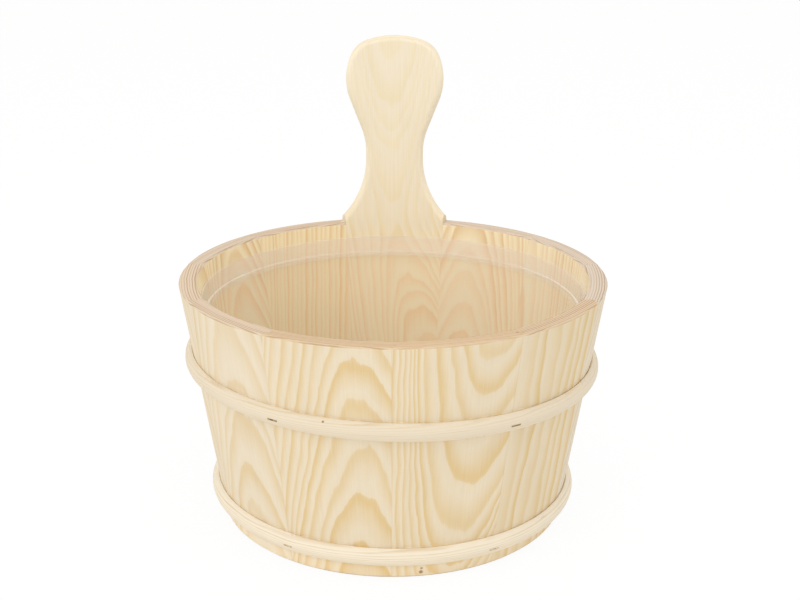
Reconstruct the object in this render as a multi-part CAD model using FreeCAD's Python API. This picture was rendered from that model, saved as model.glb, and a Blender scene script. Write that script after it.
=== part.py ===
"""Wooden piggin: a coopered bucket whose back stave carries on upwards as the handle.

Millimetres, +Z up. The origin is the centre of the foot, on the bucket's axis. The handle is at
the back, +Y, and the front of the bucket faces -Y.
"""
import FreeCAD
import Part
import math
import os

# Bucket
stave_count = 11
top_diameter = 245.0            # outside, at the rim
foot_diameter = 201.5           # outside, at the lower ends of the staves
stave_height = 140.4
wall_thickness = 10.0           # of the staves, measured level
edge_ease = 0.9                 # the rim and the stave ends have their sharp edges taken off

# Joints in the wood
tongue_root_width = 4.0         # tongue along one edge of each stave
tongue_tip_width = 2.6
tongue_depth = 2.2
wood_clearance = 0.1            # between a tongue or bevel and its groove

# Bottom
bottom_recess = 10.0            # from the stave ends up to the underside of the bottom
bottom_thickness = 10.0
bottom_edge_thickness = 6.0     # at the tip of the bevelled edge
bottom_bevel_length = 8.4
groove_depth = 3.4              # of the groove round the staves that holds the bottom
middle_board_width = 66.0
board_tongue_thickness = 3.2
board_tongue_depth = 3.0

# Handle, measured on the outline seen from the front
handle_rise = 118.4             # from the rim to the top of the handle
neck_width = 37.2
head_width = 62.8
handle_edge_radius = 3.6        # rounding of its front and back edges

# Hoops, half-round strips bent round the staves
hoop_height = 10.8
hoop_thickness = 5.2
hoop_back_ease = 0.7            # off the two edges that lie against the staves
hoop_clearance = 0.1            # from the staves, so that the askew strip clears their taper
upper_hoop_level = 92.6         # of the strip's middle line above the foot, on the axis
lower_hoop_level = 14.6
upper_hoop_tilt = 1.6           # degrees, the left side higher
lower_hoop_tilt = 0.6
scarf_angle = 20.0              # degrees from the strip's run, where its two ends meet
scarf_gap = 0.2

# Staples that hold the hoops
staple_length = 5.8
staple_reach = 10.5             # from the crown to the points of the legs
wire_width = 0.8
wire_thickness = 0.7
crown_proud = 0.15              # how far the crown stands out of the strip
upper_staple_azimuths = (-30.5, 32.6, 94.0, 169.0, 191.0, 268.0)    # degrees from the front
lower_staple_azimuths = (-31.3, 30.9, 92.0, 169.0, 191.0, 266.0)

# Liner
liner_thickness = 1.3
liner_floor_gap = 0.3           # above the bottom boards
liner_wall_gap = 1.8            # from the staves, below the collar
liner_collar_gap = 0.4          # from the staves, at the collar
liner_height = 110.5            # from its underside to its top edge
liner_collar_height = 10.0
liner_corner_radius = 9.0       # outside, where the wall turns into the floor

# Handle outline: corners as shares of the widths and of handle_rise, and the share of the shorter
# leg at each corner that its rounding takes
flare_spread_share = 1.09
flare_height_share = 0.159
neck_height_share = 0.442
shoulder_width_share = 1.092
shoulder_height_share = 0.772
corner_width_share = 0.823
corner_height_share = 0.956
crown_height_share = 1.02
flare_rounding_share = 0.8
neck_rounding_share = 0.22
shoulder_rounding_share = 0.62
corner_rounding_share = 0.36
crown_rounding_share = 0.61
thickest_rounding_share = 0.4   # a rounded edge takes at most this much of the wall
on_face_share = 0.01            # of the wall: closer than this lies on its face

# One overrun for every cut
overrun = 2.0

# Worked out from the sizes above
stave_angle = 360.0 / stave_count
half_angle = math.radians(stave_angle / 2)
wall_slope = (top_diameter - foot_diameter) / 2 / stave_height
wall_lean = math.atan(wall_slope)
handle_top = stave_height + handle_rise
bottom_middle = bottom_recess + bottom_thickness / 2

ORIGIN = FreeCAD.Vector(0, 0, 0)
AXIS_X = FreeCAD.Vector(1, 0, 0)
AXIS_Y = FreeCAD.Vector(0, 1, 0)
AXIS_Z = FreeCAD.Vector(0, 0, 1)


def outer_radius(height):
    """Radius of the staves' outer face at a height."""
    return foot_diameter / 2 + wall_slope * height


def inner_radius(height):
    """Radius of the staves' inner face at a height."""
    return outer_radius(height) - wall_thickness


def section(points):
    """Flat face through (radius, height) points, on the side of the axis where +X is."""
    corners = [FreeCAD.Vector(radius, 0, height) for radius, height in points]
    return Part.Face(Part.makePolygon(corners + corners[:1]))


def ring(face):
    """Solid of a section turned all the way round the axis."""
    return face.revolve(ORIGIN, AXIS_Z, 360)


def turned(shape, degrees):
    """Copy of a shape turned about the axis."""
    copy = shape.copy()
    copy.rotate(ORIGIN, AXIS_Z, degrees)
    return copy


def wedge(face):
    """Solid of a section turned through one stave's angle, centred on +X."""
    return turned(face, -stave_angle / 2).revolve(ORIGIN, AXIS_Z, stave_angle)


# Staves

def stave_section():
    """Section of a plain stave, with eased edges at the rim and the foot."""
    top = stave_height
    ease = edge_ease
    return section([
        (outer_radius(0) - ease, 0),
        (outer_radius(ease), ease),
        (outer_radius(top - ease), top - ease),
        (outer_radius(top) - ease, top),
        (inner_radius(top) + ease, top),
        (inner_radius(top - ease), top - ease),
        (inner_radius(ease), ease),
        (inner_radius(0) + ease, 0),
    ])


def long_stave_section():
    """Section of the handle's stave before its outline is cut."""
    top = handle_top + overrun
    ease = edge_ease
    return section([
        (outer_radius(0) - ease, 0),
        (outer_radius(ease), ease),
        (outer_radius(top), top),
        (inner_radius(top), top),
        (inner_radius(ease), ease),
        (inner_radius(0) + ease, 0),
    ])


def tongue(side, grow, start, end):
    """Tongue along one edge of a stave that is centred on +X; side is 1 or -1.

    It points away from +X for side 1. Grown by its clearance, and turned to side -1, it is the
    groove that the next stave's tongue fills.
    """
    edge = half_angle * side
    outward = FreeCAD.Vector(math.cos(edge), math.sin(edge), 0)
    across = FreeCAD.Vector(-math.sin(edge), math.cos(edge), 0)
    middle = outward * (outer_radius(start) - wall_thickness / 2)
    level = AXIS_Z * start
    root = tongue_root_width / 2 + grow
    tip = tongue_tip_width / 2 + grow
    sunk = (root - tip) * overrun / tongue_depth
    corners = [
        middle + level - outward * (root + sunk) - across * overrun,
        middle + level + outward * (root + sunk) - across * overrun,
        middle + level + outward * tip + across * (tongue_depth + grow),
        middle + level - outward * tip + across * (tongue_depth + grow),
    ]
    face = Part.Face(Part.makePolygon(corners + corners[:1]))
    return face.extrude((outward * wall_slope + AXIS_Z) * (end - start))


def jointed(blank):
    """Stave with its tongue added, its neighbour's groove cut, and the groove for the bottom."""
    with_tongue = blank.fuse(tongue(1, 0, 0, stave_height))
    neighbour = tongue(-1, wood_clearance, -overrun, stave_height)
    bottom_groove = ring(bottom_edge_section(wood_clearance))
    return with_tongue.cut(neighbour).cut(bottom_groove).removeSplitter()


def plain_stave():
    """Stave centred on +X, from the foot to the rim."""
    return jointed(wedge(stave_section()))


# Handle

def rounded_outline(corners):
    """Closed wire in the XZ plane through (x, z, rounding share) corners, rounded by tangent arcs."""
    points = [FreeCAD.Vector(x, 0, z) for x, z, share in corners]
    count = len(points)
    arcs = []
    for i, (x, z, share) in enumerate(corners):
        here = points[i]
        back = points[i - 1] - here
        ahead = points[(i + 1) % count] - here
        reach = share * min(back.Length, ahead.Length)
        back.normalize()
        ahead.normalize()
        half_turn = back.getAngle(ahead) / 2
        bisector = (back + ahead).normalize()
        middle = here + bisector * (reach / math.cos(half_turn) - reach * math.tan(half_turn))
        arcs.append((here + back * reach, middle, here + ahead * reach))
    edges = []
    for i, (start, middle, end) in enumerate(arcs):
        if corners[i][2] > 0:
            edges.append(Part.Arc(start, middle, end).toShape())
        edges.append(Part.LineSegment(end, arcs[(i + 1) % count][0]).toShape())
    return Part.Wire(edges)


def handle_outline():
    """Outline of the handle stave seen from the front, wider than the stave below the rim."""
    flare = outer_radius(stave_height) * math.sin(half_angle) * flare_spread_share
    neck = neck_width / 2
    head = head_width / 2

    def above_rim(share):
        return stave_height + handle_rise * share

    right = [
        (flare, -overrun, 0),
        (flare, stave_height, 0),
        (neck, above_rim(flare_height_share), flare_rounding_share),
        (neck, above_rim(neck_height_share), neck_rounding_share),
        (head * shoulder_width_share, above_rim(shoulder_height_share), shoulder_rounding_share),
        (head * corner_width_share, above_rim(corner_height_share), corner_rounding_share),
    ]
    crown = [(0, above_rim(crown_height_share), crown_rounding_share)]
    left = [(-x, z, share) for x, z, share in reversed(right)]
    return rounded_outline(right + crown + left)


def on_wall_face(place):
    """Whether a point lies on the staves' inner or outer face."""
    radius = math.hypot(place.x, place.y)
    near = wall_thickness * on_face_share
    outside = abs(radius - outer_radius(place.z)) < near
    inside = abs(radius - inner_radius(place.z)) < near
    return outside or inside


def handle_edges(solid):
    """Edges of the handle's outline, on its front and back faces."""
    chosen = []
    for edge in solid.Edges:
        first, last = edge.ParameterRange
        ends = [edge.valueAt(first), edge.valueAt(last)]
        middle = edge.valueAt((first + last) / 2)
        above = all(place.z > stave_height for place in ends)
        if above and on_wall_face(middle):
            chosen.append(edge)
    return chosen


def handle_stave():
    """The long stave at the back, with its handle rounded along both faces."""
    blank = turned(wedge(long_stave_section()), 90)
    prism = Part.Face(handle_outline()).extrude(AXIS_Y * (outer_radius(handle_top) + overrun))
    cut_out = blank.common(prism)
    radius = min(handle_edge_radius, wall_thickness * thickest_rounding_share)
    rounded = cut_out.makeFillet(radius, handle_edges(cut_out))
    return turned(jointed(turned(rounded, -90)), 90)


# Bottom

def bottom_edge_section(grow):
    """Section of the bottom's bevelled edge outside its full thickness, grown by a clearance."""
    seat_radius = inner_radius(bottom_middle)
    tip_radius = seat_radius + groove_depth
    start_radius = tip_radius - bottom_bevel_length
    half_start = bottom_thickness / 2 + grow
    half_tip = bottom_edge_thickness / 2 + grow
    return section([
        (start_radius, bottom_middle - half_start),
        (tip_radius - wood_clearance + grow, bottom_middle - half_tip),
        (tip_radius - wood_clearance + grow, bottom_middle + half_tip),
        (start_radius, bottom_middle + half_start),
    ])


def bottom_disc():
    """The whole bottom, before it is divided into boards."""
    edge = ring(bottom_edge_section(0))
    core_radius = inner_radius(bottom_middle) + groove_depth - bottom_bevel_length
    core = Part.makeCylinder(core_radius, bottom_thickness, AXIS_Z * bottom_recess)
    return core.fuse(edge).removeSplitter()


def slab(x_start, x_end, thickness, middle):
    """Box right across the bottom from one X to another, centred on a height."""
    length = foot_diameter + 2 * overrun
    corner = FreeCAD.Vector(x_start, -length / 2, middle - thickness / 2)
    return Part.makeBox(x_end - x_start, length, thickness, corner)


def bottom_boards():
    """Left, middle and right boards; the middle one has a tongue along each edge."""
    disc = bottom_disc()
    full = bottom_thickness + 2 * overrun
    half = middle_board_width / 2
    reach = half + board_tongue_depth
    far = foot_diameter / 2 + overrun
    tongues = slab(-reach, reach, board_tongue_thickness, bottom_middle)
    grooves = slab(-reach - wood_clearance, reach + wood_clearance,
                   board_tongue_thickness + 2 * wood_clearance, bottom_middle)
    body = slab(-half, half, full, bottom_middle)
    middle = disc.common(body.fuse(tongues)).removeSplitter()
    left = disc.common(slab(-far, -half, full, bottom_middle)).cut(grooves)
    right = disc.common(slab(half, far, full, bottom_middle)).cut(grooves)
    return {
        "bottom_board_left": left,
        "bottom_board_middle": middle,
        "bottom_board_right": right,
    }


# Hoops

def leaned(outward, up, level):
    """Place in a section, measured square out from the staves' outer face and up along it."""
    radius = outer_radius(level) + outward * math.cos(wall_lean) + up * math.sin(wall_lean)
    height = level - outward * math.sin(wall_lean) + up * math.cos(wall_lean)
    return FreeCAD.Vector(radius, 0, height)


def hoop_section(level):
    """Half-round section, its flat back along the staves' outer face and its back edges eased."""
    half = hoop_height / 2
    ease = hoop_back_ease
    back = hoop_clearance
    start = leaned(back + ease, -half, level)
    crest = leaned(hoop_thickness, 0, level)
    end = leaned(back + ease, half, level)
    rest = [end, leaned(back, half - ease, level), leaned(back, -half + ease, level), start]
    arc = Part.Arc(start, crest, end).toShape()
    return Part.Face(Part.Wire([arc] + Part.makePolygon(rest).Edges))


def askew(shape, level, tilt):
    """Copy of a ring tipped with its left side higher, and shifted to stay seated on the taper."""
    copy = shape.copy()
    copy.rotate(AXIS_Z * level, AXIS_Y, tilt)
    shift = wall_slope * outer_radius(level) * math.tan(math.radians(tilt))
    copy.translate(-AXIS_X * shift)
    return copy


def scarf_slit(level):
    """Thin slanting slit at the back, between the two ends of a strip."""
    length = hoop_height / math.sin(math.radians(scarf_angle)) + 2 * overrun
    depth = hoop_thickness + 2 * overrun
    back = outer_radius(level)
    corner = FreeCAD.Vector(-length / 2, back - overrun, level - scarf_gap / 2)
    slit = Part.makeBox(length, depth, scarf_gap, corner)
    slit.rotate(FreeCAD.Vector(0, back, level), AXIS_Y, -scarf_angle)
    return slit


def hoop(level, tilt):
    """One strip round the staves, its ends meeting in a scarf under the handle."""
    strip = askew(ring(hoop_section(level)), level, tilt)
    return strip.cut(scarf_slit(level))


# Staples

def staple(level):
    """Staple in the section plane at +X, its crown along the hoop and its legs square to it."""
    crown = hoop_thickness + crown_proud
    half = staple_length / 2
    inner = half - wire_thickness
    outline = [
        (crown, -half), (crown, half), (crown - staple_reach, half), (crown - staple_reach, inner),
        (crown - wire_thickness, inner), (crown - wire_thickness, -inner),
        (crown - staple_reach, -inner), (crown - staple_reach, -half),
    ]
    lower_side = -wire_width / 2
    upper_side = wire_width / 2
    corners = [leaned(out, lower_side, level) + AXIS_Y * along for out, along in outline]
    face = Part.Face(Part.makePolygon(corners + corners[:1]))
    return face.extrude(leaned(0, upper_side, level) - leaned(0, lower_side, level))


def staples(level, tilt, azimuths):
    """All the staples of one hoop; an azimuth is counted from the front towards +X."""
    single = staple(level)
    return [askew(turned(single, azimuth - 90), level, tilt) for azimuth in azimuths]


# Liner

def liner_profile(inset):
    """Half outline of the liner, or of its hollow when inset by the wall."""
    floor = bottom_recess + bottom_thickness + liner_floor_gap + inset
    top = bottom_recess + bottom_thickness + liner_floor_gap + liner_height
    step = top - liner_collar_height + inset
    radius = liner_corner_radius - inset
    end = top + inset

    def wall_radius(height):
        return inner_radius(height) - liner_wall_gap - inset

    def collar_radius(height):
        return inner_radius(height) - liner_collar_gap - inset

    turn = math.pi / 2 - wall_lean
    reach = radius * math.tan(turn / 2)
    sharp = FreeCAD.Vector(wall_radius(floor), 0, floor)
    slant = FreeCAD.Vector(math.sin(wall_lean), 0, math.cos(wall_lean))
    arc_start = sharp - AXIS_X * reach
    arc_end = sharp + slant * reach
    bisector = (slant - AXIS_X).normalize()
    arc_middle = sharp + bisector * (radius / math.cos(turn / 2) - radius)
    points = [
        arc_end,
        FreeCAD.Vector(wall_radius(step), 0, step),
        FreeCAD.Vector(collar_radius(step), 0, step),
        FreeCAD.Vector(collar_radius(end), 0, end),
        FreeCAD.Vector(0, 0, end),
        FreeCAD.Vector(0, 0, floor),
        arc_start,
    ]
    arc = Part.Arc(arc_start, arc_middle, arc_end).toShape()
    rest = Part.makePolygon(points)
    return Part.Face(Part.Wire([arc] + rest.Edges))


def liner():
    """Thin plastic cup that stands loose in the bucket, with a wider collar at its top."""
    outside = ring(liner_profile(0))
    hollow = ring(liner_profile(liner_thickness))
    return outside.cut(hollow)


def build():
    """Every piece by its node's name."""
    upper = staples(upper_hoop_level, upper_hoop_tilt, upper_staple_azimuths)
    lower = staples(lower_hoop_level, lower_hoop_tilt, lower_staple_azimuths)
    pieces = {"handle_stave": handle_stave()}
    stave = turned(plain_stave(), 90)
    for number in range(1, stave_count):
        pieces["stave_%02d" % number] = turned(stave, number * stave_angle)
    pieces["upper_hoop"] = hoop(upper_hoop_level, upper_hoop_tilt)
    pieces["lower_hoop"] = hoop(lower_hoop_level, lower_hoop_tilt)
    for name in pieces:
        pieces[name] = pieces[name].cut(upper + lower)
    pieces["upper_hoop_staples"] = Part.makeCompound(upper)
    pieces["lower_hoop_staples"] = Part.makeCompound(lower)
    pieces.update(bottom_boards())
    pieces["liner"] = liner()
    return pieces


os.makedirs("parts", exist_ok=True)
for node, shape in build().items():
    shape.exportStep("parts/%s.step" % node)
    print(node, len(shape.Solids), "solids", round(shape.Volume), "mm3", shape.isValid())
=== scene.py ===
"""Looks of the wooden piggin: pine staves and handle, bent hoops, staples and a clear liner.

Metres, in the row frame: +Z up, the handle at the back (+Y), the front facing -Y. Sizes inside the
materials are millimetres, because wood grain is easier to think of that way.
"""

import math

import bpy
from mathutils import Matrix, Vector


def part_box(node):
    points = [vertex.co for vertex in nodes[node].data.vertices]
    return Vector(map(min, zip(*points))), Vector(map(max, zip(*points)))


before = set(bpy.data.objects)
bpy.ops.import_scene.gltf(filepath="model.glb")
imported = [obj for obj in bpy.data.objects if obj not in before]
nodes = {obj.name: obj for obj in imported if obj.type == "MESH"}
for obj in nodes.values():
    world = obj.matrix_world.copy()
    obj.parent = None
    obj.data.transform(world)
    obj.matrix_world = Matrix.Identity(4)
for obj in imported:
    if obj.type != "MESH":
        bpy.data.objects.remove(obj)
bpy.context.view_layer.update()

MM = 1000.0                      # millimetres in a metre
STAVE_COUNT = 11
STAVE_ANGLE = 2 * math.pi / STAVE_COUNT
BACK = math.pi / 2               # direction of the handle, from +X

# Camera, from the vanishing lines and the rim's ellipse in the photograph
CAMERA_PLACE = Vector((0.0039324, -0.7194273, 0.3669204))
CAMERA_RIGHT = Vector((0.9999918, 0.0012967, 0.0038377))
CAMERA_UP = Vector((-0.0040508, 0.3201088, 0.9473721))
CAMERA_LENS = 58.79
CAMERA_SENSOR = 36.0

# Colours as they look in flat light. "Early" is the pale wood between the rings' lines, "late" the
# lines themselves. The rim and deep tones are painted lighter, warmer copies of the wood for the
# inside, standing in for the light that is lost there: the rim tones above the liner, the deep tones
# behind it, where it takes some of the light.
EARLY_WOOD = (227, 214, 191)
LATE_WOOD = (213, 179, 109)
LIT_RIM_EARLY = (245, 230, 194)
LIT_RIM_LATE = (226, 190, 132)
LIT_DEEP_EARLY = (255, 234, 197)
LIT_DEEP_LATE = (246, 206, 152)
HANDLE_EARLY = (234, 222, 198)
HANDLE_LATE = (230, 210, 153)
END_EARLY = (208, 188, 164)
END_LATE = (163, 131, 96)
SEAM = (176, 140, 98)
KNOT = (150, 104, 52)
HOOP_PALE = (224, 211, 188)
LOWER_HOOP_PALE = (236, 225, 204)
HOOP_LINE = (206, 182, 142)
UPPER_STAPLE = (110, 80, 45), (180, 146, 99)
LOWER_STAPLE = (188, 163, 130), (228, 208, 177)
PLASTIC_VEIL = (252, 251, 252)


def linear(colour):
    """Scene colour of an 8-bit colour."""
    def channel(value):
        share = value / 255
        return share / 12.92 if share <= 0.04045 else ((share + 0.055) / 1.055) ** 2.4

    return tuple(channel(value) for value in colour) + (1.0,)


# Node trees

def make(tree, kind, inputs=None, **settings):
    """Node with its settings and inputs; an input is a number, a colour or another node's socket."""
    node = tree.nodes.new(kind)
    for name, value in settings.items():
        setattr(node, name, value)
    for name, value in (inputs or {}).items():
        socket = node.inputs[name]
        if isinstance(value, bpy.types.NodeSocket):
            tree.links.new(value, socket)
        else:
            socket.default_value = value
    return node


def calc(tree, operation, *values, clamp=False):
    """Result of a Math node."""
    inputs = dict(enumerate(values))
    return make(tree, "ShaderNodeMath", inputs, operation=operation, use_clamp=clamp).outputs[0]


def vector(tree, x, y, z):
    """One vector from three values."""
    return make(tree, "ShaderNodeCombineXYZ", {0: x, 1: y, 2: z}).outputs[0]


def split(tree, place):
    """X, Y and Z of a vector."""
    return tuple(make(tree, "ShaderNodeSeparateXYZ", {0: place}).outputs)


def in_millimetres(tree, turn=0.0):
    """Place on the object in millimetres, turned about the object's axis."""
    place = make(tree, "ShaderNodeTexCoord").outputs["Object"]
    inputs = {"Vector": place, "Rotation": (0, 0, turn), "Scale": (MM, MM, MM)}
    return make(tree, "ShaderNodeMapping", inputs).outputs[0]


def levelness(tree):
    """1 on a face that looks straight up or down, 0 on an upright one."""
    normal = make(tree, "ShaderNodeTexCoord").outputs["Normal"]
    return calc(tree, "ABSOLUTE", split(tree, normal)[2])


def noise(tree, place, scale=1.0, detail=2.0, roughness=0.5):
    """Soft noise about 0.5 at a place."""
    inputs = {"Vector": place, "Scale": scale, "Detail": detail, "Roughness": roughness}
    return make(tree, "ShaderNodeTexNoise", inputs).outputs["Fac"]


def centred(tree, value, reach):
    """Noise about 0.5 turned into a length about zero."""
    return calc(tree, "MULTIPLY", calc(tree, "SUBTRACT", value, 0.5), reach)


def blend(tree, share, first, second, how="MIX"):
    """Mix of two colours."""
    node = make(tree, "ShaderNodeMix", {0: share, 6: first, 7: second}, data_type="RGBA", blend_type=how)
    return node.outputs[2]


def curve(tree, value, points):
    """Value read off a line through (x, y) points."""
    node = make(tree, "ShaderNodeFloatCurve", {"Value": value})
    line = node.mapping.curves[0]
    line.points[0].location = points[0]
    line.points[1].location = points[-1]
    for x, y in points[1:-1]:
        line.points.new(x, y)
    for point in line.points:
        point.handle_type = "VECTOR"
    node.mapping.update()
    return node.outputs[0]


def material(name):
    """Empty material: its tree and its shader."""
    made = bpy.data.materials.new(name)
    made.use_nodes = True
    tree = made.node_tree
    shader = tree.nodes["Principled BSDF"]
    return made, tree, shader


# Wood in general

WOOD_GLOSS = 0.3
PINE_ROUGHNESS = 0.62
BOARD_ROUGHNESS = 0.65
HOOP_ROUGHNESS = 0.55
RELIEF = 0.0003                  # height of the grain's relief, in metres
PINE_RELIEF = 0.25
HOOP_RELIEF = 0.3
BRIGHTEST = (0.97, 0.97, 0.97, 1)    # share of the light that any stave gives back

# Lines of (x, y) points. Those of a ring run from its start (0) to its end (1).
PINE_RING = (0, 0.5), (0.05, 0.12), (0.25, 0.04), (0.55, 0.45), (0.86, 1.0), (0.94, 0.95), (1.0, 0.7)
END_RING = (0, 0.7), (0.1, 0.0), (0.5, 0.0), (0.85, 1.0), (1, 0.9)
HOOP_RING = (0, 0.3), (0.05, 0.0), (0.55, 0.0), (0.9, 1.0), (1, 0.9)
HOOP_FADE = (0, 0.3), (0.4, 0.4), (0.6, 0.95), (1, 1)    # strength of a hoop's lines, from noise
KNOT_EDGE = (0, 1), (0.35, 0.9), (0.65, 0), (1, 0)       # darkness from a knot's middle outwards

# Strength of the rings: the weakest, and how much more the strongest has
PINE_STRENGTH = 0.35, 0.75
END_STRENGTH = 0.3, 0.7
HOOP_STRENGTH = 0.4, 0.6


def ring_strength(tree, rings, first, limits):
    """Own strength of each ring; "first" sets which rings are the strong ones."""
    place = calc(tree, "ADD", calc(tree, "FLOOR", rings), first)
    chance = make(tree, "ShaderNodeTexWhiteNoise", {"W": place}, noise_dimensions="1D").outputs["Value"]
    least, more = limits
    return calc(tree, "MULTIPLY_ADD", chance, more, least)


def late_wood(tree, rings, first):
    """Share of late wood in a count of pine rings."""
    late = curve(tree, calc(tree, "FRACT", rings), PINE_RING)
    return calc(tree, "MULTIPLY", late, ring_strength(tree, rings, first, PINE_STRENGTH))


def wood_surface(tree, shader, colour, roughness):
    """Gives a wood's shader its colour and its dull gloss."""
    tree.links.new(colour, shader.inputs["Base Color"])
    shader.inputs["Roughness"].default_value = roughness
    shader.inputs["Specular IOR Level"].default_value = WOOD_GLOSS


def relief(tree, shader, height, strength, sunk=False):
    """Fine relief of the grain; "sunk" makes the high values hollows."""
    inputs = {"Strength": strength, "Distance": RELIEF, "Height": height}
    bump = make(tree, "ShaderNodeBump", inputs, invert=sunk)
    tree.links.new(bump.outputs[0], shader.inputs["Normal"])


def knotted(tree, colour, place, knots):
    """A colour with small dark knots; each is its middle, its size and how dark it is."""
    for middle, size, darkness in knots:
        away = make(tree, "ShaderNodeVectorMath", {0: place, 1: middle}, operation="DISTANCE")
        share = curve(tree, calc(tree, "DIVIDE", away.outputs["Value"], 2 * size), KNOT_EDGE)
        colour = blend(tree, calc(tree, "MULTIPLY", share, darkness), colour, linear(KNOT))
    return colour


# Staves

WALL_SLOPE = 21.75 / 140.4
FOOT_RADIUS = 100.75
WALL = 10.0
RIM = 140.4
HALF_WIDTH = 36.0                # of a stave, at the rim
EDGE_DROP = 6.0                  # how far a stave's curved face falls back at its edges
MIDDLE = 70.0                    # half the height of the staves
SEED_STEP = 37.0                 # between the noises of neighbouring staves

RING_WIDTH = 1.9                 # of the rings past the ends of each list
RING_MARGIN = 3.0                # past the distances in a stave, for the noise
RING_LEAST = 0.65                # the narrowest ring's share of that width
RING_MORE = 0.7                  # how much more the widest has
RING_STEP, RING_CYCLE = 7, 11    # order of narrow and wide rings
TURN_SOFTNESS = 15.0             # height over which a taper turns round

# Upper and lower hoop: level of the middle line on the axis, tilt in degrees that lifts its left
# side, and how much painted light lifts the shade on the staves in the groove above it
HOOPS = (92.6, 1.6, 0.32), (14.6, 0.6, 0.3)
# Painted light over a reach above the hoop's middle line, and by the spots of a noise
GROOVE_REACH = 10.0
GROOVE_PAINTED_LIGHT = (0, 0), (0.4, 0), (0.46, 1), (0.54, 1), (0.57, 0.3), (0.62, 0), (1, 0)
GROOVE_SPOTS = (0, 0.5), (0.4, 0.5), (0.6, 1), (1, 1)

# Noises in a stave: width of the spots across the board, length along it, what is added to the
# stave's seed, detail and roughness
SLOW = 20, 55, 0, 1.5, 0.5
QUICK = 1.1, 14, 0, 2.0, 0.5
RIPPLE = 9, 17, 4, 1.0, 0.5
FIBRE = 0.7, 30, 0, 3.0, 0.6
CLOUD = 30, 60, 9, 2.0, 0.5
GROOVE_NOISE = 5, 60, 6, 2.0, 0.5
SLOW_STRAY = 1.9                 # how far a noise moves the rings
QUICK_STRAY = 0.22
RIPPLE_STRAY = 0.8
FIBRE_SHADE = 0.14               # how much the fibres and the clouds change the tone
CLOUD_SHADE = 0.08
LATE_RELIEF = 0.4                # of the rings, as a share of the fibres' relief

# Rings on a stave's cut end, which run along the wall
END_WIDTH = 1.5
END_BEND = 1 / 420               # how fast they leave the rim's curve
END_WAVE = 9                     # width of their waves
END_STRAY = 1.2
END_SEED = 0.5
CUT_REACH = 1.2                  # how soon a face counts as cut
CUT_LEVEL = (0, 0), (0.45, 0), (0.85, 1), (1, 1)

HANDLE_CONTRAST = 0.34           # of the rings above the rim
HANDLE_FADE = 0.53, 0.68         # shares of the handle's height between which it is reached
HANDLE_CUT = 0.25                # share of the end grain's look that the handle's edges keep
HANDLE_FOOT = RIM - 1            # height above which they do
BACK_CONTRAST = 0.68             # outside, of the staves whose inner face the photograph shows

# Lines of (x, y) points; x is the height, from the foot (0) to the rim (1)
# The inside's lines place its painted lighter tones, which stand in for the light it lacks
DEEP_LEVEL = (0, 1), (0.925, 1), (0.935, 0), (1, 0)      # where the inside has its deep tones
INSIDE_LEVEL = (0, 0), (0.13, 0), (0.22, 1), (1, 1)      # where it has tones of its own
HANDLE_INSIDE = (0, 1), (0.9, 1), (0.995, 0), (1, 0)     # the same, for the handle's stave
# Painted light on the outer foot, lifting the shade that falls under the lower hoop
FOOT_PAINTED_LIGHT = (0, 0.23), (0.04, 0.19), (0.064, 0.07), (0.08, 0), (1, 0)   # added to the outer tone
# Added to the tone of the handle's stave; x is the height, from the foot to the handle's top
HANDLE_LIGHT = (0, 0), (0.5, 0), (0.57, 0.035), (0.66, 0.02), (0.8, 0), (1, 0)
# Darkness of a seam, by the distance from it in millimetres and by the clouds
SEAM_EDGE = (0, 1), (0.15, 0.8), (0.4, 0), (1, 0)
SEAM_PATCHES = (0, 0.05), (0.45, 0.05), (0.6, 0.2), (1, 0.3)

# How the growth rings lie in each stave, counted from the handle's towards the left.
# "side" and "lean": where the rings' arches stand across the board at half height, and how much they
# move aside with each millimetre of height. "depth": how far the pith lies behind the outer face.
# "taper": how much the distance that the rings follow changes with each millimetre of height; it
# turns round at the height "turn", where the lean stops too.
# "apexes": heights where rings close on the seen face. "seen": how far out that face lies, 0 for the
# outer and -10 for the inner one. "strong": sets which rings are the strong ones.
# "contrast": how much of the late wood shows. "warmth" and "tone": saturation and brightness of the
# colour. "rim_warmth" and "rim": what is added to them on the cut end.
GRAINS = {
    0: dict(side=-21, lean=0.31, depth=45, taper=-0.075, turn=145, seen=-10, contrast=0.6, warmth=0.95,
            apexes=(108, 98, 85, 67, 46, 28, 8, -14, -34, -60)),
    1: dict(side=-70, lean=0.0, depth=60, taper=0.05, seen=-10, contrast=0.8,
            apexes=(60,)),
    2: dict(side=-10, lean=0.05, depth=45, taper=0.085, seen=-10, contrast=0.9, warmth=0.93,
            apexes=(60, 88, 116, 138, 160)),
    3: dict(side=-12, lean=0.0, depth=70, taper=0.03, seen=0, contrast=0.72,
            apexes=(70,)),
    4: dict(side=8.5, lean=0.03, depth=45, taper=0.072, seen=0, contrast=0.55, strong=5414,
            apexes=(0, 28, 55.7, 92, 109, 145, 178, 215, 258)),
    5: dict(side=17, lean=0.03, depth=45, taper=0.072, seen=0, contrast=0.64, strong=7314,
            warmth=1.06, rim_warmth=0.18, rim=-0.03,
            apexes=(-10, 22, 54.7, 77.5, 110.3, 136.5, 156, 180, 212, 245, 285, 331)),
    6: dict(side=12, lean=0.15, depth=45, taper=-0.08, seen=0, contrast=0.6, strong=5075,
            warmth=1.1, rim_warmth=0.18, rim=-0.03,
            apexes=(130, 109.4, 87, 56.3, 25.3, 6.5, -5.8, -20, -37, -56, -80, -105)),
    7: dict(side=-200, lean=0.0, depth=99, taper=-0.004, seen=0, contrast=0.58, warmth=1.16, tone=0.98,
            apexes=(60,)),
    8: dict(side=30, lean=0.05, depth=70, taper=0.05, seen=0, contrast=0.6, warmth=0.82, tone=0.98,
            apexes=(120, 85, 50)),
    9: dict(side=50, lean=0.0, depth=60, taper=0.05, seen=-10, contrast=0.9, warmth=0.85,
            apexes=(120,)),
    10: dict(side=13, lean=0.0, depth=45, taper=0.09, seen=-10, contrast=0.8, warmth=0.9,
             apexes=(114, 92, 71.5, 50, 30)),
}

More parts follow.
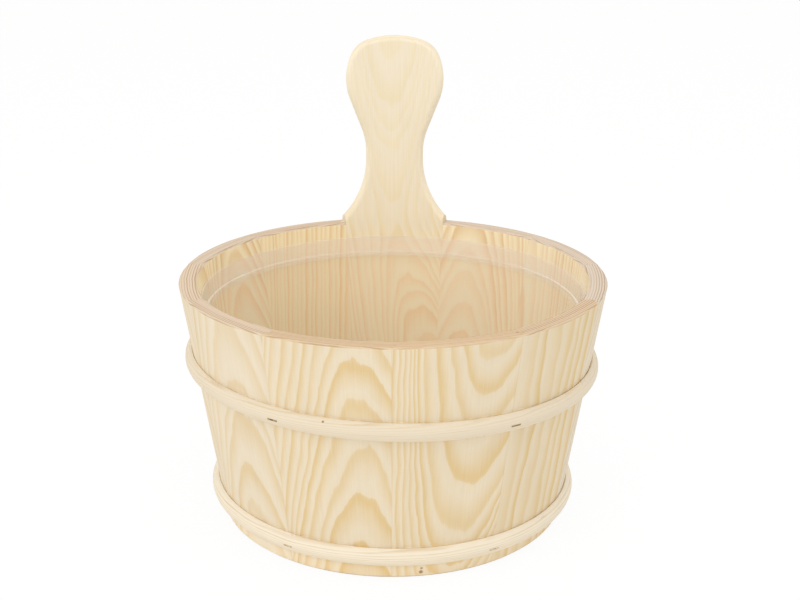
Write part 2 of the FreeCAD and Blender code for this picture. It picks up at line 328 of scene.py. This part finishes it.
# Small knots: middle, size, darkness
STAVE_KNOTS = {
    6: (((15.8, -100.2, 3.2), 1.1, 0.85), ((16.1, -100.6, 5.6), 0.8, 0.7),
        ((63.3, -99.4, 140.4), 0.9, 0.5)),
    7: (((103.5, -51.1, 94.9), 0.7, 0.8),),
}


def stave_number(name):
    """Place of a stave in the ring, counted from the handle's."""
    return 0 if name == "handle_stave" else int(name.split("_")[1])


def seen_radius(grain, height):
    """Radius of the staves' seen face at a height."""
    return FOOT_RADIUS + WALL_SLOPE * height + grain["seen"]


def pith_share(grain):
    """How far aside the pith is, as a share of how far aside its rings close on the curved face."""
    return 1 - (grain["depth"] + grain["seen"]) / seen_radius(grain, MIDDLE)


def pith_line(grain):
    """Place of the pith across the stave at the foot, and how much it leans with height."""
    lean = grain["lean"] * pith_share(grain)
    return grain["side"] * pith_share(grain) - MIDDLE * lean, lean


def ring_distance(grain, across, outward, height):
    """Distance from the pith's line, less the depth of the pith: what the growth rings follow."""
    start, lean = pith_line(grain)
    rise = math.hypot(height - grain["turn"], TURN_SOFTNESS) if "turn" in grain else height
    aside = across - start - lean * min(height, grain.get("turn", height))
    return math.hypot(aside, grain["depth"] + outward) - grain["depth"] + grain["taper"] * rise


def ring_width(number):
    """Width of a ring past the ends of a list, wider or narrower than the one before."""
    place = number * RING_STEP % RING_CYCLE
    return RING_WIDTH * (RING_LEAST + RING_MORE * place / (RING_CYCLE - 1))


def ring_line(grain, top):
    """Points of the line that turns the distance from the pith into a count of rings."""
    reach = [ring_distance(grain, across, outward, height)
             for across in (-HALF_WIDTH, 0, HALF_WIDTH)
             for outward in (0, -WALL, -EDGE_DROP, -EDGE_DROP - WALL)
             for height in (0, MIDDLE, grain.get("turn", MIDDLE), top)]
    low = min(reach) - RING_MARGIN
    high = max(reach) + RING_MARGIN
    closes = []
    for apex in grain["apexes"]:
        across = grain["side"] + grain["lean"] * (apex - MIDDLE)
        outward = grain["seen"] - across ** 2 / (2 * seen_radius(grain, apex))
        closes.append(ring_distance(grain, across, outward, apex))
    closes.sort()
    while closes[0] > low:
        closes.insert(0, closes[0] - ring_width(len(closes)))
    while closes[-1] < high:
        closes.append(closes[-1] + ring_width(len(closes)))
    count = len(closes) - 1
    low = closes[0]
    high = closes[-1]
    points = [((close - low) / (high - low), i / count) for i, close in enumerate(closes)]
    return points, low, high, count


def stave_noise(tree, board, kind, seed):
    """Noise drawn out along a stave."""
    across, outward, height = board
    width, length, step, detail, roughness = kind
    place = vector(tree, calc(tree, "MULTIPLY", across, 1 / width),
                   calc(tree, "MULTIPLY", outward, 1 / width),
                   calc(tree, "MULTIPLY_ADD", height, 1 / length, seed + step))
    return noise(tree, place, detail=detail, roughness=roughness)


def pith_distance(tree, grain, board, top):
    """The same as ring_distance, in nodes."""
    across, outward, height = board
    start, lean = pith_line(grain)
    leaning = calc(tree, "MINIMUM", height, grain.get("turn", top))
    aside = calc(tree, "SUBTRACT", across, calc(tree, "MULTIPLY_ADD", leaning, lean, start))
    behind = calc(tree, "ADD", outward, grain["depth"])
    squares = calc(tree, "ADD", calc(tree, "MULTIPLY", aside, aside), calc(tree, "MULTIPLY", behind, behind))
    distance = calc(tree, "SUBTRACT", calc(tree, "SQRT", squares), grain["depth"])
    rise = height
    if "turn" in grain:
        from_turn = calc(tree, "SUBTRACT", height, grain["turn"])
        rise = calc(tree, "SQRT", calc(tree, "MULTIPLY_ADD", from_turn, from_turn, TURN_SOFTNESS ** 2))
    return calc(tree, "ADD", distance, calc(tree, "MULTIPLY", rise, grain["taper"]))


def stave_rings(tree, grain, board, top, seed):
    """Share of late wood at a point of a stave."""
    slow = centred(tree, stave_noise(tree, board, SLOW, seed), SLOW_STRAY)
    quick = centred(tree, stave_noise(tree, board, QUICK, seed), QUICK_STRAY)
    ripple = centred(tree, stave_noise(tree, board, RIPPLE, seed), RIPPLE_STRAY)
    stray = calc(tree, "ADD", calc(tree, "ADD", slow, quick), ripple)
    distance = calc(tree, "ADD", pith_distance(tree, grain, board, top), stray)
    points, low, high, count = ring_line(grain, top)
    share = calc(tree, "DIVIDE", calc(tree, "SUBTRACT", distance, low), high - low)
    rings = calc(tree, "MULTIPLY", curve(tree, share, points), count)
    return late_wood(tree, rings, grain.get("strong", seed))


def end_line(tree, across, outward, seed):
    """Share of late wood on a stave's cut end."""
    round_pith = calc(tree, "MULTIPLY", calc(tree, "MULTIPLY", across, across), END_BEND)
    place = vector(tree, calc(tree, "MULTIPLY", across, 1 / END_WAVE), seed, 0.0)
    depth = calc(tree, "ADD", calc(tree, "ADD", outward, round_pith),
                 centred(tree, noise(tree, place), END_STRAY))
    rings = calc(tree, "DIVIDE", depth, END_WIDTH)
    line = curve(tree, calc(tree, "FRACT", rings), END_RING)
    return calc(tree, "MULTIPLY", line, ring_strength(tree, rings, seed + END_SEED, END_STRENGTH))


def long_grain(tree, number, late, outside, level, up_handle):
    """Colour along the grain: the wood's own outside, painted lighter copies inside for the shade there."""
    grain = GRAINS[number]
    contrast = grain["contrast"]
    if number == 0:
        start, end = HANDLE_FADE
        contrast = curve(tree, up_handle, [(0, contrast), (start, contrast),
                                           (end, HANDLE_CONTRAST), (1, HANDLE_CONTRAST)])
    late_share = calc(tree, "MULTIPLY", late, contrast, clamp=True)
    pale, dark = (HANDLE_EARLY, HANDLE_LATE) if number == 0 else (EARLY_WOOD, LATE_WOOD)
    softer = BACK_CONTRAST if grain["seen"] and number else 1.0
    outer = blend(tree, calc(tree, "MULTIPLY", late_share, softer), linear(pale), linear(dark))
    # Inside: painted lighter, warmer copies of the wood, for the shade inside and behind the liner
    near_rim = blend(tree, late_share, linear(LIT_RIM_EARLY), linear(LIT_RIM_LATE))
    behind_liner = blend(tree, late_share, linear(LIT_DEEP_EARLY), linear(LIT_DEEP_LATE))
    inner = blend(tree, curve(tree, level, DEEP_LEVEL), near_rim, behind_liner)
    inside = calc(tree, "MULTIPLY", calc(tree, "SUBTRACT", 1.0, outside), curve(tree, level, INSIDE_LEVEL))
    if number == 0:
        inside = calc(tree, "MULTIPLY", inside, curve(tree, level, HANDLE_INSIDE))
    return blend(tree, inside, outer, inner)


def painted_groove_light(tree, board, sideways, seed):
    """Painted light in the groove above each hoop, where the two woods nearly touch and shade falls."""
    height = board[2]
    spots = curve(tree, stave_noise(tree, board, GROOVE_NOISE, seed), GROOVE_SPOTS)
    total = 0.0
    for hoop_level, tilt, light in HOOPS:
        slope = math.tan(math.radians(tilt))
        above = calc(tree, "ADD", calc(tree, "MULTIPLY_ADD", sideways, slope, height), -hoop_level)
        groove = curve(tree, calc(tree, "DIVIDE", above, GROOVE_REACH), GROOVE_PAINTED_LIGHT)
        total = calc(tree, "MULTIPLY_ADD", calc(tree, "MULTIPLY", groove, spots), light, total)
    return total


def seam_share(tree, radial, across, cloud, cut):
    """How much of the seam's colour shows, near a stave's long edges."""
    to_seam = calc(tree, "MULTIPLY_ADD", radial, math.tan(STAVE_ANGLE / 2),
                   calc(tree, "MULTIPLY", calc(tree, "ABSOLUTE", across), -1.0))
    dark = calc(tree, "MULTIPLY", curve(tree, to_seam, SEAM_EDGE), curve(tree, cloud, SEAM_PATCHES))
    return calc(tree, "MULTIPLY", dark, calc(tree, "SUBTRACT", 1.0, cut))


def pine(name, number, top):
    """Pine of one stave; "top" is its height."""
    grain = GRAINS[number]
    seed = number * SEED_STEP
    made, tree, shader = material(name)
    radial, across, height = split(tree, in_millimetres(tree, -(BACK + number * STAVE_ANGLE)))
    outward = calc(tree, "SUBTRACT", radial, calc(tree, "MULTIPLY_ADD", height, WALL_SLOPE, FOOT_RADIUS))
    board = across, outward, height
    place = in_millimetres(tree)
    late = stave_rings(tree, grain, board, top, seed)
    fibre = stave_noise(tree, board, FIBRE, seed)
    cloud = stave_noise(tree, board, CLOUD, seed)
    level = calc(tree, "MULTIPLY", height, 1 / RIM, clamp=True)
    up_handle = calc(tree, "MULTIPLY", height, 1 / top)
    outside = calc(tree, "GREATER_THAN", outward, -WALL / 2)
    cut = curve(tree, calc(tree, "MULTIPLY", levelness(tree), CUT_REACH, clamp=True), CUT_LEVEL)
    if number == 0:
        below_handle = calc(tree, "LESS_THAN", height, HANDLE_FOOT)
        kept = calc(tree, "MULTIPLY_ADD", below_handle, 1 - HANDLE_CUT, HANDLE_CUT)
        cut = calc(tree, "MULTIPLY", cut, kept)

    end_grain = blend(tree, end_line(tree, across, outward, seed), linear(END_EARLY), linear(END_LATE))
    colour = blend(tree, cut, long_grain(tree, number, late, outside, level, up_handle), end_grain)
    tone = calc(tree, "ADD",
                calc(tree, "MULTIPLY_ADD", fibre, FIBRE_SHADE, grain.get("tone", 1) - FIBRE_SHADE / 2),
                calc(tree, "MULTIPLY_ADD", cloud, CLOUD_SHADE, -CLOUD_SHADE / 2))
    # Painted light on the outer face near the foot, lifting the shade under the lower hoop
    tone = calc(tree, "MULTIPLY_ADD", curve(tree, level, FOOT_PAINTED_LIGHT), outside, tone)
    tone = calc(tree, "ADD", tone, calc(tree, "MULTIPLY", cut, grain.get("rim", 0)))
    # Painted light in the groove above each hoop, lifting the shade in the crease
    tone = calc(tree, "MULTIPLY_ADD", painted_groove_light(tree, board, split(tree, place)[0], seed), outside, tone)
    if number == 0:
        tone = calc(tree, "ADD", tone, curve(tree, up_handle, HANDLE_LIGHT))
    warmth = calc(tree, "MULTIPLY_ADD", cut, grain.get("rim_warmth", 0), grain.get("warmth", 1.0))
    colour = make(tree, "ShaderNodeHueSaturation",
                  {"Color": colour, "Value": tone, "Saturation": warmth}).outputs[0]
    colour = blend(tree, seam_share(tree, radial, across, cloud, cut), colour, linear(SEAM))
    colour = knotted(tree, colour, place, STAVE_KNOTS.get(number, ()))
    wood_surface(tree, shader, blend(tree, 1.0, colour, BRIGHTEST, how="DARKEN"), PINE_ROUGHNESS)
    relief(tree, shader, calc(tree, "MULTIPLY_ADD", late, LATE_RELIEF, fibre), PINE_RELIEF)
    return made


# Bottom boards

# Where the pith lies in X, how fast the rings narrow along the board, and a seed
BOARDS = {
    "bottom_board_left": (-130.0, 0.03, 3.0),
    "bottom_board_middle": (9.0, 0.06, 17.0),
    "bottom_board_right": (75.0, -0.04, 29.0),
}
BOARD_DEPTH = 25.0               # of their pith, below the foot
BOARD_RING = 2.4
BOARD_CONTRAST = 0.6
BOARD_TONE = 0.97
BOARD_SHADE = 0.1                # how much the fibres add to it

# Noises in a board: width and length of the spots, and how far a noise moves the rings
BOARD_SLOW, BOARD_SLOW_STRAY = (20, 60), 3.0
BOARD_QUICK, BOARD_QUICK_STRAY = (2, 14), 0.3
BOARD_FIBRE = (0.7, 30)


def board_pine(name, side, taper, seed):
    """Pine of one bottom board, its grain along Y; "side" is where its pith lies in X."""
    made, tree, shader = material(name)
    x, y, z = split(tree, in_millimetres(tree))

    def board_noise(size):
        """Noise drawn out along the board."""
        width, length = size
        return noise(tree, vector(tree, calc(tree, "MULTIPLY", x, 1 / width),
                                  calc(tree, "MULTIPLY_ADD", y, 1 / length, seed),
                                  calc(tree, "MULTIPLY", z, 1 / width)))

    aside = calc(tree, "SUBTRACT", x, side)
    below = calc(tree, "ADD", z, BOARD_DEPTH)
    distance = calc(tree, "SQRT", calc(tree, "ADD", calc(tree, "MULTIPLY", aside, aside),
                                       calc(tree, "MULTIPLY", below, below)))
    distance = calc(tree, "MULTIPLY_ADD", y, taper, distance)
    distance = calc(tree, "ADD", distance, centred(tree, board_noise(BOARD_SLOW), BOARD_SLOW_STRAY))
    distance = calc(tree, "ADD", distance, centred(tree, board_noise(BOARD_QUICK), BOARD_QUICK_STRAY))
    late = late_wood(tree, calc(tree, "DIVIDE", distance, BOARD_RING), seed)
    colour = blend(tree, calc(tree, "MULTIPLY", late, BOARD_CONTRAST), linear(EARLY_WOOD), linear(LATE_WOOD))
    tone = calc(tree, "MULTIPLY_ADD", board_noise(BOARD_FIBRE), BOARD_SHADE, BOARD_TONE)
    colour = make(tree, "ShaderNodeHueSaturation", {"Color": colour, "Value": tone}).outputs[0]
    wood_surface(tree, shader, colour, BOARD_ROUGHNESS)
    return made


# Hoops

HOOP_SLANT = 0.55                # of the rings, against the strip
HOOP_WIDTH = 1.1                 # of a ring
HOOP_CONTRAST = 0.7
HOOP_DRIFT, HOOP_STRAY = (1.4, 14.0), 3.0    # turns along the strip and width across it, and stray
HOOP_FADES = (4.0, 2.0)

# Small knots: middle, size, darkness
UPPER_HOOP_KNOTS = (
    ((-34.8, -113.8, 97.2), 0.6, 1.0),
    ((43.9, -109.4, 86.8), 0.6, 0.35),
    ((47.2, -108.2, 87.1), 0.5, 0.35),
)


def hoop_wood(name, seed, pale, knots=()):
    """Pale bent wood with fine lines along the strip."""
    made, tree, shader = material(name)
    place = in_millimetres(tree)
    x, y, z = split(tree, place)
    flat = vector(tree, x, y, 0.0)
    radius = make(tree, "ShaderNodeVectorMath", {0: flat}, operation="LENGTH").outputs["Value"]
    around = make(tree, "ShaderNodeVectorMath", {0: flat}, operation="NORMALIZE").outputs[0]
    turn_x, turn_y, _ = split(tree, around)

    def strip_noise(size):
        """Noise that runs along the strip and changes across it."""
        reach, width = size
        strip = vector(tree, calc(tree, "MULTIPLY", turn_x, reach), calc(tree, "MULTIPLY", turn_y, reach),
                       calc(tree, "MULTIPLY_ADD", z, 1 / width, seed))
        inputs = {"Vector": strip, "W": calc(tree, "DIVIDE", radius, width),
                  "Scale": 1.0, "Detail": 2.0, "Roughness": 0.6}
        return make(tree, "ShaderNodeTexNoise", inputs, noise_dimensions="4D").outputs["Fac"]

    slanted = calc(tree, "MULTIPLY_ADD", radius, HOOP_SLANT, z)
    drift = centred(tree, strip_noise(HOOP_DRIFT), HOOP_STRAY)
    rings = calc(tree, "DIVIDE", calc(tree, "ADD", slanted, drift), HOOP_WIDTH)
    line = calc(tree, "MULTIPLY", curve(tree, calc(tree, "FRACT", rings), HOOP_RING),
                ring_strength(tree, rings, seed, HOOP_STRENGTH))
    line = calc(tree, "MULTIPLY", line, curve(tree, strip_noise(HOOP_FADES), HOOP_FADE))
    colour = blend(tree, calc(tree, "MULTIPLY", line, HOOP_CONTRAST), linear(pale), linear(HOOP_LINE))
    wood_surface(tree, shader, knotted(tree, colour, place, knots), HOOP_ROUGHNESS)
    relief(tree, shader, line, HOOP_RELIEF, sunk=True)
    return made


# Staples

SPOT_SCALE = 700.0               # spots in a metre
SPOTS = (0, 0), (0.4, 0), (0.62, 1), (1, 1)
STAPLE_METAL = 0.4
STAPLE_ROUGHNESS = 0.5


def staple_metal(name, dark, light):
    """Dull wire, partly sunk in the wood's fibres."""
    made, tree, shader = material(name)
    place = make(tree, "ShaderNodeTexCoord").outputs["Object"]
    spots = curve(tree, noise(tree, place, scale=SPOT_SCALE), SPOTS)
    tree.links.new(blend(tree, spots, linear(dark), linear(light)), shader.inputs["Base Color"])
    shader.inputs["Metallic"].default_value = STAPLE_METAL
    shader.inputs["Roughness"].default_value = STAPLE_ROUGHNESS
    return made


# Liner

COLLAR_HEIGHT = 0.010
LINER_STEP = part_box("liner")[1].z - COLLAR_HEIGHT    # where the liner's collar starts
STEP_HEIGHT = 0.002              # of the slope under it
TOP_HEIGHT = 0.009               # where its top edge starts, above the step
LEVEL = 0.8                      # how level a face is that counts as an edge
LINER_ROUGHNESS = 0.15
LINER_CLEAR = (1.0, 0.996, 0.99, 1)      # what its faces let through
LINER_EDGE = (0.62, 0.66, 0.68, 1)       # what they let through seen edge on
EDGE_POWER = 10.0                # how close to the outline that starts
MIRROR_POWER = 6.0
MIRROR_MORE = 0.12               # how much more of it mirrors at the outline
MIRROR_LEAST = 0.008
# Shares that scatter light: of the wall, and what the collar, its step and its top edge add
CLOUDY_WALL = 0.012
CLOUDY_COLLAR = 0.1
CLOUDY_STEP = 0.12
CLOUDY_TOP = 0.04


def liner_plastic():
    """Clear thin plastic that lets the light through."""
    made, tree, shader = material("liner_plastic_clear")
    tree.nodes.remove(shader)
    output = tree.nodes["Material Output"]
    gloss = make(tree, "ShaderNodeBsdfGlossy", {"Color": (1, 1, 1, 1), "Roughness": LINER_ROUGHNESS})
    veil = make(tree, "ShaderNodeBsdfDiffuse", {"Color": linear(PLASTIC_VEIL)})
    facing = make(tree, "ShaderNodeLayerWeight", {"Blend": 0.5}).outputs["Facing"]
    mirror = calc(tree, "MULTIPLY_ADD", calc(tree, "POWER", facing, MIRROR_POWER), MIRROR_MORE, MIRROR_LEAST)
    through = blend(tree, calc(tree, "POWER", facing, EDGE_POWER), LINER_CLEAR, LINER_EDGE)
    clear = make(tree, "ShaderNodeBsdfTransparent", {"Color": through})
    height = split(tree, make(tree, "ShaderNodeTexCoord").outputs["Object"])[2]
    level = calc(tree, "GREATER_THAN", levelness(tree), LEVEL)
    in_collar = calc(tree, "GREATER_THAN", height, LINER_STEP - STEP_HEIGHT)
    on_top = calc(tree, "GREATER_THAN", height, LINER_STEP + TOP_HEIGHT)
    edge = calc(tree, "MULTIPLY", calc(tree, "MULTIPLY", level, in_collar),
                calc(tree, "MULTIPLY_ADD", on_top, CLOUDY_TOP - CLOUDY_STEP, CLOUDY_STEP))
    cloudy = calc(tree, "ADD", edge, calc(tree, "MULTIPLY_ADD", in_collar, CLOUDY_COLLAR, CLOUDY_WALL))
    body = make(tree, "ShaderNodeMixShader", {0: cloudy, 1: clear.outputs[0], 2: veil.outputs[0]})
    mixed = make(tree, "ShaderNodeMixShader", {0: mirror, 1: body.outputs[0], 2: gloss.outputs[0]})
    tree.links.new(mixed.outputs[0], output.inputs["Surface"])
    return made


# Pieces

def dress(name, made):
    """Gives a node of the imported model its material."""
    for place in nodes[name].material_slots:
        place.material = made


def dress_all():
    """Materials of every piece."""
    for name in nodes:
        if name == "handle_stave" or name.startswith("stave_"):
            number = stave_number(name)
            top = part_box(name)[1].z * MM
            dress(name, pine("pine_%02d" % number, number, top))
        elif name in BOARDS:
            dress(name, board_pine(name + "_pine", *BOARDS[name]))
    dress("upper_hoop", hoop_wood("upper_hoop_wood", 3.0, HOOP_PALE, UPPER_HOOP_KNOTS))
    dress("lower_hoop", hoop_wood("lower_hoop_wood", 8.0, LOWER_HOOP_PALE))
    dress("upper_hoop_staples", staple_metal("upper_staple_metal", *UPPER_STAPLE))
    dress("lower_hoop_staples", staple_metal("lower_staple_metal", *LOWER_STAPLE))
    dress("liner", liner_plastic())


# Studio

SKY_COLOUR = (1.0, 0.99, 0.975, 1)
SKY_STRENGTH = 0.88
WHITE = (1, 1, 1, 1)
FLOOR_HALF = 12.0                # half the floor's width
FLOOR_COLOUR = (0.94, 0.94, 0.93, 1)
FLOOR_ROUGHNESS = 0.9
FLOOR_GLOSS = 0.1
FLOOR_WHITE = 0.93               # share of plain white in it; the rest shows the shadow

# Lamps: place, width and power
LAMPS = {
    "key": ((-1.4, -1.4, 1.6), 1.2, 9.5),
    "top": ((0.1, -0.3, 1.7), 1.2, 9),
}
LAMP_TARGET = (0, 0, 0.1)


def seen_white(tree, strength=1.0):
    """Share that is 1 for rays that show the background, straight, mirrored or through plastic."""
    rays = make(tree, "ShaderNodeLightPath").outputs
    share = calc(tree, "MAXIMUM", rays["Is Camera Ray"], rays["Is Glossy Ray"])
    share = calc(tree, "MAXIMUM", share, rays["Is Transmission Ray"])
    return calc(tree, "MULTIPLY", share, strength)


def make_world():
    """Even light, with a white background."""
    world = bpy.data.worlds.new("studio")
    bpy.context.scene.world = world
    world.use_nodes = True
    tree = world.node_tree
    light = tree.nodes["Background"]
    light.inputs["Color"].default_value = SKY_COLOUR
    light.inputs["Strength"].default_value = SKY_STRENGTH
    white = make(tree, "ShaderNodeBackground", {"Color": WHITE, "Strength": 1.0})
    mixed = make(tree, "ShaderNodeMixShader", {0: seen_white(tree), 1: light.outputs[0], 2: white.outputs[0]})
    tree.links.new(mixed.outputs[0], tree.nodes["World Output"].inputs["Surface"])


def make_floor():
    """Pale floor, seen as white with a trace of the shadow left."""
    half = FLOOR_HALF
    corners = [(-half, -half, 0), (half, -half, 0), (half, half, 0), (-half, half, 0)]
    mesh = bpy.data.meshes.new("floor")
    mesh.from_pydata(corners, [], [(0, 1, 2, 3)])
    floor = bpy.data.objects.new("floor", mesh)
    bpy.context.scene.collection.objects.link(floor)
    made, tree, shader = material("pale_floor")
    shader.inputs["Base Color"].default_value = FLOOR_COLOUR
    shader.inputs["Roughness"].default_value = FLOOR_ROUGHNESS
    shader.inputs["Specular IOR Level"].default_value = FLOOR_GLOSS
    white = make(tree, "ShaderNodeEmission", {"Color": WHITE, "Strength": 1.0})
    mixed = make(tree, "ShaderNodeMixShader",
                 {0: seen_white(tree, FLOOR_WHITE), 1: shader.outputs[0], 2: white.outputs[0]})
    tree.links.new(mixed.outputs[0], tree.nodes["Material Output"].inputs["Surface"])
    mesh.materials.append(made)


def make_lamp(name, place, width, power):
    """Soft square lamp aimed at the object."""
    lamp = bpy.data.lights.new(name, "AREA")
    lamp.shape = "SQUARE"
    lamp.size = width
    lamp.energy = power
    lamp_object = bpy.data.objects.new(name, lamp)
    lamp_object.location = place
    aim = Vector(LAMP_TARGET) - Vector(place)
    lamp_object.rotation_mode = "QUATERNION"
    lamp_object.rotation_quaternion = aim.to_track_quat("-Z", "Y")
    bpy.context.scene.collection.objects.link(lamp_object)


def make_camera():
    """Camera at the photograph's place."""
    camera = bpy.data.cameras.new("camera")
    camera.lens = CAMERA_LENS
    camera.sensor_width = CAMERA_SENSOR
    camera_object = bpy.data.objects.new("camera", camera)
    back = CAMERA_RIGHT.cross(CAMERA_UP)
    turn = Matrix((CAMERA_RIGHT, CAMERA_UP, back)).transposed().to_4x4()
    camera_object.matrix_world = Matrix.Translation(CAMERA_PLACE) @ turn
    bpy.context.scene.collection.objects.link(camera_object)
    bpy.context.scene.camera = camera_object


dress_all()
make_world()
make_floor()
for lamp_name, settings in LAMPS.items():
    make_lamp(lamp_name, *settings)
make_camera()
bpy.context.scene.view_settings.view_transform = "Standard"
